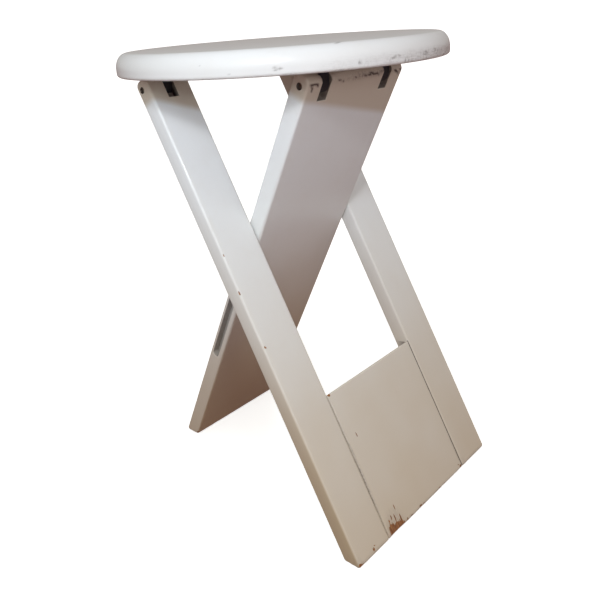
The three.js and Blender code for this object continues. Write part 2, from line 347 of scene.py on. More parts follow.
def make_object(name: str, surface: Surface) -> bpy.types.Object:
    """Puts a surface into a new object at the origin.

    Args:
        name: the object's name.
        surface: its surface.

    Returns:
        The object, linked to the scene.
    """
    ready = surface.outward()
    mesh = bpy.data.meshes.new(name)
    mesh.from_pydata(ready.points.tolist(), [], ready.faces)
    mesh.update()
    piece = bpy.data.objects.new(name, mesh)
    bpy.context.scene.collection.objects.link(piece)
    return piece


def carve(piece: bpy.types.Object, cutters: list[Surface]) -> None:
    """Cuts every cutting surface out of a piece, and keeps the result as the piece's own mesh.

    Args:
        piece: the object to cut.
        cutters: the cutting surfaces, in the same axes.
    """
    tools = [make_object(f"{piece.name}_cutter", cutter) for cutter in cutters]
    for tool in tools:
        cut = piece.modifiers.new("cut", "BOOLEAN")
        cut.operation = "DIFFERENCE"
        cut.solver = "EXACT"
        cut.object = tool
    evaluated = piece.evaluated_get(bpy.context.evaluated_depsgraph_get())
    result = bpy.data.meshes.new_from_object(evaluated)
    piece.modifiers.clear()
    old, piece.data = piece.data, result
    result.name = piece.name
    bpy.data.meshes.remove(old)
    for tool in tools:
        bpy.data.meshes.remove(tool.data)


def soften(piece: bpy.types.Object, sharp_from: float = 32.0) -> None:
    """Shades a piece smooth, apart from edges that bend by more than an angle in degrees."""
    piece.data.shade_smooth()
    piece.data.set_sharp_from_angle(angle=math.radians(sharp_from))


def read_vectors(items: bpy.types.bpy_prop_collection, name: str) -> np.ndarray:
    """Reads one vector from each item of a mesh's list.

    Args:
        items: the mesh's points, or its normals.
        name: the vector's own name there.

    Returns:
        The vectors, one row each.
    """
    values = np.empty(len(items) * 3, dtype=np.float32)
    items.foreach_get(name, values)
    return values.reshape(-1, 3).astype(float)


def mesh_points(piece: bpy.types.Object) -> np.ndarray:
    """A piece's mesh points, one row each."""
    return read_vectors(piece.data.vertices, "co")


def mesh_normals(piece: bpy.types.Object) -> np.ndarray:
    """A piece's normals at its points, one row each."""
    return read_vectors(piece.data.vertex_normals, "vector")


def set_points(piece: bpy.types.Object, points: np.ndarray) -> None:
    """Moves a piece's mesh points to new places."""
    piece.data.vertices.foreach_set("co", points.astype(np.float32).ravel())
    piece.data.update()


def store_number(piece: bpy.types.Object, name: str, values: np.ndarray) -> None:
    """Stores one number for each of a piece's points, for its material to read."""
    attribute = piece.data.attributes.new(name, "FLOAT", "POINT")
    attribute.data.foreach_set("value", values.astype(np.float32))


def store_place(piece: bpy.types.Object, places: np.ndarray) -> None:
    """Stores where each point lies in the piece's own axes, for its material's grain to follow."""
    attribute = piece.data.attributes.new("place", "FLOAT_VECTOR", "POINT")
    attribute.data.foreach_set("vector", places.astype(np.float32).ravel())


# Wear


@dataclass(frozen=True)
class Mark:
    """A worn spot: its centre and half sizes in a piece's own axes, and how deep it is."""

    centre: tuple[float, float, float]
    half: tuple[float, float, float]
    depth: float = 0.0
    most: float = 1.0

    def strength(self, places: np.ndarray) -> np.ndarray:
        """Its most at the mark's centre, falling evenly to nothing at its edge.

        Args:
            places: points in the piece's own axes.

        Returns:
            The mark's strength at each point.
        """
        away = np.linalg.norm((places - np.array(self.centre)) / np.array(self.half), axis=1)
        return self.most * np.clip(1 - away, 0, 1)


def strongest(marks: list[Mark], places: np.ndarray) -> np.ndarray:
    """The strongest of several marks at each point."""
    return np.max([np.zeros(len(places)), *(mark.strength(places) for mark in marks)], axis=0)


def dent(piece: bpy.types.Object, marks: list[Mark], places: np.ndarray) -> None:
    """Presses a piece's surface in where marks have a depth.

    Each point moves against its normal by the mark's depth times a smooth step of its strength.

    Args:
        piece: the object.
        marks: the marks.
        places: the piece's points in its own axes.
    """
    deep = [mark for mark in marks if mark.depth > 0]
    if not deep:
        return
    strengths = np.stack([mark.strength(places) for mark in deep])
    ease = np.clip(strengths * 2, 0, 1)
    depths = np.array([mark.depth for mark in deep])[:, None] * ease * ease * (3 - 2 * ease)
    set_points(piece, mesh_points(piece) - depths.max(axis=0)[:, None] * mesh_normals(piece))


# Shader maths


class Shade:
    """A shader socket that takes part in Python expressions. Each operator adds its Math node."""

    def __init__(self, tree: bpy.types.NodeTree, socket: bpy.types.NodeSocket) -> None:
        """Keeps the tree and the output socket."""
        self.tree = tree
        self.socket = socket

    def _math(self, operation: str, *values: "Shade | float", clamp: bool = False) -> "Shade":
        """Adds a Math node.

        Args:
            operation: what it works out.
            *values: its inputs in order, each a shade or a plain number.
            clamp: whether its result is held between nought and one.

        Returns:
            The node's output.
        """
        node = self.tree.nodes.new("ShaderNodeMath")
        node.operation = operation
        node.use_clamp = clamp
        for place, value in enumerate(values):
            if isinstance(value, Shade):
                self.tree.links.new(value.socket, node.inputs[place])
            else:
                node.inputs[place].default_value = value
        return Shade(self.tree, node.outputs[0])

    def __add__(self, other: "Shade | float") -> "Shade":
        """self + other."""
        return self._math("ADD", self, other)

    __radd__ = __add__

    def __sub__(self, other: "Shade | float") -> "Shade":
        """self - other."""
        return self._math("SUBTRACT", self, other)

    def __rsub__(self, other: float) -> "Shade":
        """other - self."""
        return self._math("SUBTRACT", other, self)

    def __mul__(self, other: "Shade | float") -> "Shade":
        """self * other."""
        return self._math("MULTIPLY", self, other)

    __rmul__ = __mul__

    def clamped(self) -> "Shade":
        """The value held between nought and one."""
        return self._math("ADD", self, 0.0, clamp=True)

    def step(self, low: float, high: float) -> "Shade":
        """Nought below low, one above high, and an even rise between them, eased at both ends."""
        rise = self._math("DIVIDE", self - low, high - low, clamp=True)
        return rise * rise * (3.0 - 2.0 * rise)


class Finisher:
    """A new material and the means to fill it with nodes."""

    def __init__(self, name: str) -> None:
        """Makes the material with an empty tree.

        Args:
            name: the material's name.
        """
        self.material = bpy.data.materials.new(name)
        self.material.use_nodes = True
        self.tree = self.material.node_tree
        self.tree.nodes.clear()

    def node(self, kind: str, settings: dict[str, object] | None = None, **inputs: object) -> bpy.types.Node:
        """Adds a node: first its settings, then the values or links of its sockets.

        Args:
            kind: the node's type without the ShaderNode in front.
            settings: the node's own properties.
            **inputs: socket names with _ for spaces, or i0, i1 and so on for places in the list.

        Returns:
            The node.
        """
        node = self.tree.nodes.new(f"ShaderNode{kind}")
        for key, value in (settings or {}).items():
            setattr(node, key, value)
        for key, value in inputs.items():
            place = int(key[1:]) if key[0] == "i" and key[1:].isdigit() else key.replace("_", " ")
            if isinstance(value, Shade):
                self.tree.links.new(value.socket, node.inputs[place])
            else:
                node.inputs[place].default_value = value
        return node

    def shade(self, node: bpy.types.Node, output: str | int = 0) -> Shade:
        """One of a node's outputs, ready for expressions."""
        return Shade(self.tree, node.outputs[output])

    def stored(self, name: str) -> Shade:
        """The number that the piece stores under a name."""
        return self.shade(self.node("Attribute", {"attribute_name": name}), "Fac")

    def place(self) -> Shade:
        """The point's place in the piece's own axes."""
        return self.shade(self.node("Attribute", {"attribute_name": "place"}), "Vector")

    def object_place(self) -> Shade:
        """The point's place in the frame's axes at rest."""
        return self.shade(self.node("TexCoord"), "Object")

    def stretched(self, vector: Shade, scale: tuple[float, float, float]) -> Shade:
        """A vector with each of its coordinates scaled."""
        return self.shade(self.node("VectorMath", {"operation": "MULTIPLY"}, i0=vector, i1=scale))

    def noise(self, vector: Shade, scale: float, detail: float = 3.0, roughness: float = 0.5) -> Shade:
        """Noise from about nought to one. A scale of 100 gives features of about 10 mm."""
        node = self.node("TexNoise", None, Vector=vector, Scale=scale, Detail=detail, Roughness=roughness)
        return self.shade(node, "Fac")

    def mix(self, factor: Shade | float, first: object, second: object) -> Shade:
        """A colour between two, by a factor."""
        node = self.node("Mix", {"data_type": "RGBA", "clamp_factor": True}, i0=factor, i6=first, i7=second)
        return self.shade(node, 2)

    def bump(self, height: Shade, distance: float) -> Shade:
        """A normal bent by a height, whose full range is a distance in metres."""
        return self.shade(self.node("Bump", None, Strength=1.0, Distance=distance, Height=height), "Normal")

    def surface(self, **inputs: object) -> bpy.types.Material:
        """Closes the material with one Principled shader.

        Args:
            **inputs: the shader's sockets.

        Returns:
            The finished material.
        """
        shader = self.node("BsdfPrincipled", None, **inputs)
        output = self.node("OutputMaterial")
        self.tree.links.new(shader.outputs[0], output.inputs["Surface"])
        return self.material


Colour = tuple[float, float, float, float]


def colour(red: float, green: float, blue: float) -> Colour:
    """An opaque colour from three linear parts."""
    return (red, green, blue, 1.0)


@dataclass(frozen=True)
class BareWood:
    """Brown hardwood where it shows: long fibres along the piece's third axis, and fine pores."""

    light: Colour = colour(0.42, 0.19, 0.078)
    dark: Colour = colour(0.15, 0.058, 0.024)
    fibre: float = 1400.0
    along: float = 60.0

    def tone(self, finisher: Finisher, place: Shade) -> Shade:
        """The wood's colour at a place.

        Args:
            finisher: the material that it goes into.
            place: the place in the piece's own axes.

        Returns:
            The colour.
        """
        stretched = finisher.stretched(place, (self.fibre, self.fibre, self.along))
        grain = finisher.noise(stretched, 1.0, 4.0, 0.6)
        return finisher.mix(grain.step(0.35, 0.68), self.dark, self.light)


@dataclass(frozen=True)
class Lacquer:
    """White satin lacquer on wood, smudged and chipped to the wood, and darkened and browned low down by
    painted shade and a painted brown floor reflection.

    The piece stores six numbers at its points: chip and scuff, one at the middle of a mark and nought
    outside it, edge, one on its rounded edges and nought on its faces, grime, dirt in its cracks and joints
    and painted shade deep inside its cuts and along the joint on the +Y side, handled, how much more painted
    shade and brown floor reflection darken it low down, and hidden, one where the seat's shadow is painted on
    it.
    Streaks and grain give how fine the flakes and the wood's fibres are along each axis. Where its wear
    passes rim_from the lacquer is thin, and past chip_from the wood shows.
    """

    name: str
    white: Colour = colour(0.83, 0.86, 0.88)
    # The yellowed tone of thin lacquer and of its clouds, which also colours the painted shade low down.
    yellowed_and_low_shade: Colour = colour(0.55, 0.43, 0.285)
    # The colour of the painted shade and brown floor reflection on the outer left side and the inner front
    # face.
    painted_low_shade: Colour = colour(0.42, 0.29, 0.14)
    # The colour of the seat's painted shadow on the legs, and how strong it is.
    painted_seat_shadow: Colour = colour(0.50, 0.375, 0.22)
    painted_seat_shadow_most: float = 0.6
    # How high the painted shade low down reaches, and how strong it is at the floor.
    low_shade_height: float = 0.44
    low_shade_most: float = 0.78
    smudge: Colour = colour(0.13, 0.10, 0.085)
    # The dark of dirt, and of the painted shade in cuts and along the +Y joint.
    dirt_and_shade_dark: Colour = colour(0.045, 0.028, 0.026)
    roughness: float = 0.33
    coat: float = 0.4
    coat_roughness: float = 0.07
    chip_from: float = 0.33
    rim_from: float = 0.20
    relief: float = 0.05 * MM
    grain: tuple[float, float, float] = (520.0, 520.0, 14.0)
    streaks: tuple[float, float, float] = (900.0, 900.0, 75.0)
    wood: BareWood = field(default_factory=BareWood)

    def tone_with_painted_shade(self, finisher: Finisher, place: Shade, broad: Shade) -> Shade:
        """The lacquer's colour before it is marked, with painted shade and brown floor reflection low down
        and the seat's painted shadow.

        Args:
            finisher: the material that it goes into.
            place: the place in the piece's own axes.
            broad: noise with features as wide as a hand.

        Returns:
            The colour.
        """
        height = finisher.shade(finisher.node("SeparateXYZ", None, Vector=finisher.object_place()), "Z")
        # Painted shade and brown floor reflection: the lacquer turns darker and browner towards the floor.
        low = (1.0 - height.step(0.0, self.low_shade_height)) * self.low_shade_most
        tone = finisher.mix(low * (0.75 + 0.5 * broad), self.white, self.yellowed_and_low_shade)
        # Painted shade and brown floor reflection on the outer left side and the inner leg's front, strongest
        # low down.
        tone = finisher.mix(finisher.stored("painted_low_shade") * low * low * 1.4, tone, self.painted_low_shade)
        # The seat's painted shadow across the tops of the legs.
        tone = finisher.mix(finisher.stored("painted_seat_shadow") * self.painted_seat_shadow_most, tone, self.painted_seat_shadow)
        tone = finisher.mix(finisher.stored("edge") * 0.06, tone, self.yellowed_and_low_shade)
        cloud = finisher.noise(place, 38.0, 4.0, 0.6)
        return finisher.mix(cloud.step(0.45, 0.80) * 0.05, tone, self.yellowed_and_low_shade)

    def material(self) -> bpy.types.Material:
        """Builds the material.

        Returns:
            The finished material.
        """
        finisher = Finisher(self.name)
        place = finisher.place()
        broad = finisher.noise(place, 9.0, 2.0)
        fine = finisher.noise(place, 420.0, 5.0, 0.65)
        speckle = finisher.noise(place, 1300.0, 2.0)
        streak = finisher.noise(finisher.stretched(place, self.streaks), 1.0, 3.0, 0.6)

        lines = 0.55 * streak.step(0.40, 0.72) + 0.45 * fine.step(0.42, 0.66) + 0.10
        rubbed = finisher.stored("scuff") * lines
        tone = finisher.mix((rubbed * 1.1).clamped(), self.tone_with_painted_shade(finisher, place, broad), self.smudge)
        speck = speckle.step(0.74, 0.80) * fine.step(0.52, 0.62)
        tone = finisher.mix(speck * 0.30, tone, self.smudge)

        worn = finisher.stored("chip") + 0.30 * (fine - 0.5) + 0.62 * (streak - 0.5)
        chip = worn.step(self.chip_from, self.chip_from + 0.04)
        rim = worn.step(self.rim_from, self.chip_from) * (1.0 - chip)
        tone = finisher.mix(rim * 0.35, tone, self.yellowed_and_low_shade)
        tone = finisher.mix(chip, tone, self.wood.tone(finisher, place))
        # Dirt in cracks and joints, and painted shade deep in cuts and along the joint on the +Y side.
        dirt_and_recess_shade = (finisher.stored("dirt_and_recess_shade") * (0.8 + 0.4 * fine)).clamped()
        tone = finisher.mix(dirt_and_recess_shade, tone, self.dirt_and_shade_dark)

        grain = finisher.noise(finisher.stretched(place, self.grain), 1.0, 3.0)
        peel = finisher.noise(place, 420.0, 1.0)
        relief = 0.30 * grain + 0.45 * peel + 0.25 * speckle - 5.0 * chip + 0.5 * rubbed * speckle
        rough = self.roughness + 0.06 * (broad - 0.5) + 0.25 * rubbed + 0.45 * chip + 0.4 * dirt_and_recess_shade
        return finisher.surface(
            Base_Color=tone,
            Roughness=rough.clamped(),
            Coat_Weight=(self.coat * (1.0 - chip) * (1.0 - dirt_and_recess_shade)).clamped(),
            Coat_Roughness=self.coat_roughness,
            Normal=finisher.bump(relief, self.relief),
        )


@dataclass(frozen=True)
class BlackPlastic:
    """Matt black moulded plastic, greyed by handling in patches."""

    name: str = "black_plastic"
    black: Colour = colour(0.011, 0.012, 0.017)
    worn: Colour = colour(0.030, 0.031, 0.037)

    def material(self) -> bpy.types.Material:
        """Builds the material.

        Returns:
            The finished material.
        """
        finisher = Finisher(self.name)
        place = finisher.object_place()
        dust = finisher.noise(place, 180.0, 4.0, 0.6)
        spark = finisher.noise(place, 2600.0, 1.0)
        tone = finisher.mix(dust.step(0.45, 0.75) * 0.7, self.black, self.worn)
        rough = (0.42 + 0.22 * dust).clamped()
        return finisher.surface(Base_Color=tone, Roughness=rough, Normal=finisher.bump(spark, 0.03 * MM))


@dataclass(frozen=True)
class Steel:
    """Drawn steel, dulled by age, with fine turning marks and brown spots."""

    name: str
    bright: Colour = colour(0.52, 0.51, 0.49)
    dull: Colour = colour(0.20, 0.13, 0.09)
    spots: float = 0.55
    roughness: float = 0.34

    def material(self) -> bpy.types.Material:
        """Builds the material.

        Returns:
            The finished material.
        """
        finisher = Finisher(self.name)
        place = finisher.object_place()
        marks = finisher.noise(finisher.stretched(place, (2600.0, 400.0, 2600.0)), 1.0, 3.0)
        spot = finisher.noise(place, 420.0, 4.0, 0.6).step(self.spots, self.spots + 0.12)
        rough = (self.roughness + 0.12 * marks + 0.3 * spot).clamped()
        return finisher.surface(
            Base_Color=finisher.mix(spot * 0.8, self.bright, self.dull),
            Metallic=(1.0 - 0.7 * spot).clamped(),
            Roughness=rough,
            Normal=finisher.bump(marks, 0.02 * MM),
        )


@dataclass(frozen=True)
class DowelWood:
    """Pale beech, bare, with fine flecks along the dowel."""

    name: str = "dowel_beech"
    light: Colour = colour(0.52, 0.35, 0.19)
    dark: Colour = colour(0.34, 0.20, 0.10)

    def material(self) -> bpy.types.Material:
        """Builds the material.

        Returns:
            The finished material.
        """
        finisher = Finisher(self.name)
        fleck = finisher.noise(finisher.stretched(finisher.object_place(), (900.0, 60.0, 900.0)), 1.0, 4.0)
        tone = finisher.mix(fleck.step(0.35, 0.7), self.light, self.dark)
        return finisher.surface(
            Base_Color=tone, Roughness=(0.6 + 0.2 * fleck).clamped(), Normal=finisher.bump(fleck, 0.05 * MM)
        )


# The legs


@dataclass(frozen=True)
class LegAxes:
    """A leg's own axes: n out of its front face, y across it and s down it, from its hinge line."""

    hinge: Vector
    angle: float

    @property
    def basis(self) -> np.ndarray:
        """The ways of n, y and s in the frame's axes, one row each."""
        rise, run = math.sin(self.angle), math.cos(self.angle)
        return np.array([[rise, 0, run], [0, 1, 0], [run, 0, -rise]])

    def to_frame(self, places: np.ndarray) -> np.ndarray:
        """Rows of n, y and s as rows of x, y and z: the hinge plus each number times its way."""
        return np.array(self.hinge) + places @ self.basis

    def surface_to_frame(self, surface: Surface) -> Surface:
        """A surface in the leg's axes, given in the frame's axes."""
        return Surface(self.to_frame(surface.points), surface.faces)

    def from_frame(self, points: np.ndarray) -> np.ndarray:
        """Points in the frame's axes, given in the leg's axes."""
        return (points - np.array(self.hinge)) @ self.basis.T

    def foot(self, n: float | np.ndarray) -> float | np.ndarray:
        """How far down the leg the floor is, at a place n out of the hinge line."""
        return (self.hinge.z + n * math.cos(self.angle)) / math.sin(self.angle)


@dataclass(frozen=True)
class Board:
    """The sizes of one board of a leg, in its leg's axes. Its top edge may fall away towards the back."""

    front: float
    top: float
    low: float
    high: float
    top_fall: float = 0.0
    top_round: float = 6.5 * MM
    foot_round: float = 3.2 * MM
    edge_round: float = 2.5 * MM
    grid: float = 2.2 * MM

    @property
    def back(self) -> float:
        """The back face's place out of the hinge line."""
        return self.front - BOARD_THICKNESS

    def surface(self, axes: LegAxes) -> Surface:
        """The whole board: its side outline carried across its width, with both rims rounded.

        Args:
            axes: the leg's axes.

        Returns:
            The surface, in the frame's axes.
        """
        corners = np.array(
            [
                [self.front, -self.top],
                [self.front, axes.foot(self.front)],
                [self.back, axes.foot(self.back)],
                [self.back, self.top_fall - self.top],
            ]
        )
        radii = np.array([self.top_round, self.foot_round, self.foot_round, self.top_round])
        long_steps = round((axes.foot(0) + self.top) / self.grid)
        outline = rounded_outline(corners, radii, 6, (long_steps, 6, long_steps, 4))
        across = max(4, round((self.high - self.low) / self.grid))
        return axes.surface_to_frame(rounded_slab(outline, self.low, self.high, self.edge_round, across))

    def edge_nearness(self, places: np.ndarray, axes: LegAxes, reach: float = 3.0 * MM) -> np.ndarray:
        """One on the board's edges, falling to nought away from them.

        A point on the surface is at no distance from one face, so its second smallest distance from the
        three pairs of faces is its way to the nearest edge.

        Args:
            places: points in the leg's axes.
            axes: the leg's axes.
            reach: the distance at which the value has fallen to about a third.

        Returns:
            The nearness at each point.
        """
        across = np.minimum(places[:, 1] - self.low, self.high - places[:, 1])
        through = np.minimum(self.front - places[:, 0], places[:, 0] - self.back)
        start = self.top_fall * (self.front - places[:, 0]) / BOARD_THICKNESS - self.top
        along = np.minimum(places[:, 2] - start, axes.foot(places[:, 0]) - places[:, 2])
        ways = np.sort(np.abs(np.stack([across, through, along])), axis=0)
        return np.exp(-((ways[1] / reach) ** 2))

    def edge_chips(self, axes: LegAxes, seed: int, count: int) -> list[Mark]:
        """Small chips scattered along the board's long edges and its foot, more of them low down.

        Args:
            axes: the leg's axes.
            seed: the seed of the scatter.
            count: how many chips.

        Returns:
            The chips.
        """
        random = np.random.default_rng(seed)
        chips = []
        for _ in range(count):
            size = random.uniform(0.5, 1.3) * MM
            n = self.back if random.random() < 0.7 else self.front
            if random.random() < 0.45:
                y = random.uniform(self.low, self.high)
                s = axes.foot(n)
            else:
                y = random.choice([self.low, self.high])
                s = axes.foot(0) * random.uniform(0.2, 1) ** 0.5
            stretch = random.uniform(1.0, 2.6)
            chips.append(Mark((n, y, s), (2.2 * size, 1.6 * size, 1.3 * size * stretch), 0.15 * MM))
        return chips


@dataclass(frozen=True)
class Notch:
    """The slot in a leg's top end that a hinge strap swings in."""

    middle: float
    depth: float
    width: float = 12.9 * MM
    corner: float = 0.8 * MM
    lip: float = 0.7 * MM
    above: float = 10 * MM
    beyond: float = 5 * MM
    overlap: float = 1 * MM

    def cutters(self, board: Board) -> list[Surface]:
        """The cutting shapes for both faces, in the leg's axes.

        The outline lies across the leg and down it. Each shape runs from the middle of the board out
        through one face, flared where it leaves the wood.

        Args:
            board: the board to cut.

        Returns:
            Two surfaces of n, y and s.
        """
        half = self.width / 2
        above = -board.top - self.above
        corners = np.array(
            [
                [self.middle + half, above],
                [self.middle + half, self.depth],
                [self.middle - half, self.depth],
                [self.middle - half, above],
            ]
        )
        outline = rounded_outline(corners, np.full(4, self.corner), 3, (2, 2, 2, 2))
        centre = (board.front + board.back) / 2
        ends = ((board.front, centre - self.overlap), (board.back, centre + self.overlap))
        stacks = [flared_stack(outline, mouth, end, self.lip, self.beyond) for mouth, end in ends]
        return [Surface(stack.points[:, [1, 0, 2]], stack.faces) for stack in stacks]

    def dirt_and_recess_shade(self, places: np.ndarray) -> np.ndarray:
        """Painted shade on the notch's own walls."""
        across = np.abs(places[:, 1] - self.middle) < self.width / 2 + TOUCH
        return 0.72 * (across & (places[:, 2] < self.depth + TOUCH))


@dataclass(frozen=True)
class PinHole:
    """A blind hole for a hinge pin, drilled in from one edge of a board."""

    mouth: float
    depth: float = 44 * MM
    radius: float = 3.3 * MM
    lip: float = 0.4 * MM

    def cutters(self, board: Board) -> list[Surface]:
        """The cutting shape, in the leg's axes: a circle about the hinge line, flared at its mouth."""
        end = self.mouth - math.copysign(self.depth, self.mouth)
        return [flared_stack(circle_outline(self.radius, 32), self.mouth, end, self.lip, 2 * PAST)]

    def dirt_and_recess_shade(self, places: np.ndarray) -> np.ndarray:
        """Painted shade all the way down the hole, and none outside it.

        Args:
            places: points in the leg's axes.

        Returns:
            How deep the painted shade is at each point.
        """
        out = np.hypot(places[:, 0], places[:, 2]) < self.radius + 0.15 * MM
        deep = np.abs(places[:, 1] - self.mouth) < self.depth + 0.1 * MM
        return 0.85 * (out & deep)


@dataclass(frozen=True)
class Groove:
    """The groove in the inner leg's edge that a guide pin slides in."""

    mouth: float
    centre: float = -1.15 * MM
    start: float = 175.9 * MM
    end: float = 366.0 * MM
    width: float = 9.3 * MM
    depth: float = 9 * MM
    lip: float = 0.6 * MM

    def cutters(self, board: Board) -> list[Surface]:
        """The cutting shape, in the leg's axes: a slot with round ends, flared at its mouth.

        Args:
            board: not used.

        Returns:
            One surface of n, y and s.
        """
        radius = self.width / 2
        outline = slot_outline(self.centre, self.start + radius, self.end - radius, radius, 12)
        end = self.mouth - math.copysign(self.depth, self.mouth)
        return [flared_stack(outline, self.mouth, end, self.lip, 2 * PAST)]

    def dirt_and_recess_shade(self, places: np.ndarray) -> np.ndarray:
        """Painted shade on the groove's walls and floor.

        Args:
            places: points in the leg's axes.

        Returns:
            How dirty each point is.
        """
        across = np.abs(places[:, 0] - self.centre) < self.width / 2 + TOUCH
        along = (places[:, 2] > self.start - TOUCH) & (places[:, 2] < self.end + TOUCH)
        deep = np.abs(places[:, 1] - self.mouth)
        return 0.44 * (across & along & (deep > self.lip / 2) & (deep < self.depth + 0.1 * MM))


Cut = Notch | PinHole | Groove


def cut_board(piece: bpy.types.Object, board: Board, axes: LegAxes, cuts: list[Cut]) -> None:
    """Carves notches, holes and grooves out of a board.

    Args:
        piece: the board's object.
        board: its sizes.
        axes: its leg's axes.
        cuts: what to carve, in order.
    """
    carve(piece, [axes.surface_to_frame(shape) for cut in cuts for shape in cut.cutters(board)])


@dataclass
class Wear:
    """What has happened to a board over the years, and the shade painted on it.

    Joint is how far across its glued edges are from the middle, and how far down they start at the front
    and at the back. The browned number is how strongly painted shade and brown floor reflection darken its
    front face low down. Shade is how far down the seat's painted shadow reaches in the middle, and how much
    further for each unit across.
    """

    chips: list[Mark]
    scuffs: list[Mark]
    cracks: list[Mark] = field(default_factory=list)
    cuts: list[Cut] = field(default_factory=list)
    joint: tuple[float, float, float] = (1.0, 1.0, 1.0)
    painted_front_shade: float = 0.0
    shade: tuple[float, float] = (64 * MM, 0.385)

    def dirt_and_recess_shade(self, places: np.ndarray, front: float) -> np.ndarray:
        """Dirt in its cracks and glued joints, and painted shade in its cuts and, darker, along the glued
        joint on the +Y side.

        Args:
            places: points in the leg's axes.
            front: the front face's place.

        Returns:
            How much dirt and painted shade each point has.
        """
        across, first, last = self.joint
        start = first + (last - first) * (front - places[:, 0]) / BOARD_THICKNESS
        glued = (np.abs(np.abs(places[:, 1]) - across) < GLUE_LINE) & (places[:, 2] > start)
        cracked = np.clip(2.6 * strongest(self.cracks, places), 0, 1)
        # The glued line is dirt; on the +Y side it is much darker with painted shade.
        dirty = [glued * np.where(places[:, 1] > 0, 1.0, 0.1), cracked]
        return np.max(dirty + [cut.dirt_and_recess_shade(places) for cut in self.cuts], axis=0)

    def painted_low_shade(self, places: np.ndarray, front: float) -> np.ndarray:
        """Painted shade and brown floor reflection: on the frame's left outer side, and on its own front
        face.
        """
        outer_side_shade = 0.7 * np.clip(-places[:, 1] / MM - 126, 0, 1)
        return np.maximum(outer_side_shade, self.painted_front_shade * (places[:, 0] > front - 1 * MM))

    def painted_seat_shadow(self, places: np.ndarray) -> np.ndarray:
        """One where the seat's shadow is painted on, with a soft edge."""
        reach = np.minimum(self.shade[0] + self.shade[1] * places[:, 1], SHADE_END)
        return np.clip((reach - places[:, 2]) / SHADE_BLUR + 0.5, 0, 1)


def finish_board(
    piece: bpy.types.Object, board: Board, axes: LegAxes, wear: Wear, material: bpy.types.Material
) -> None:
    """Dents a board, stores what its lacquer reads, and shades it.

    Args:
        piece: the board's object.
        board: its sizes.
        axes: its leg's axes.
        wear: what has happened to it, and the shade painted on it.
        material: its lacquer.
    """
    places = axes.from_frame(mesh_points(piece))
    dent(piece, wear.chips, places)
    store_place(piece, places)
    store_number(piece, "chip", strongest(wear.chips, places))
    store_number(piece, "scuff", strongest(wear.scuffs, places))
    store_number(piece, "edge", board.edge_nearness(places, axes))
    # The next three numbers carry painted shade: in cuts and the +Y joint, low down, and under the seat.
    store_number(piece, "dirt_and_recess_shade", wear.dirt_and_recess_shade(places, board.front))
    store_number(piece, "painted_low_shade", wear.painted_low_shade(places, board.front))
    store_number(piece, "painted_seat_shadow", wear.painted_seat_shadow(places))
    piece.data.materials.clear()
    piece.data.materials.append(material)
    soften(piece)


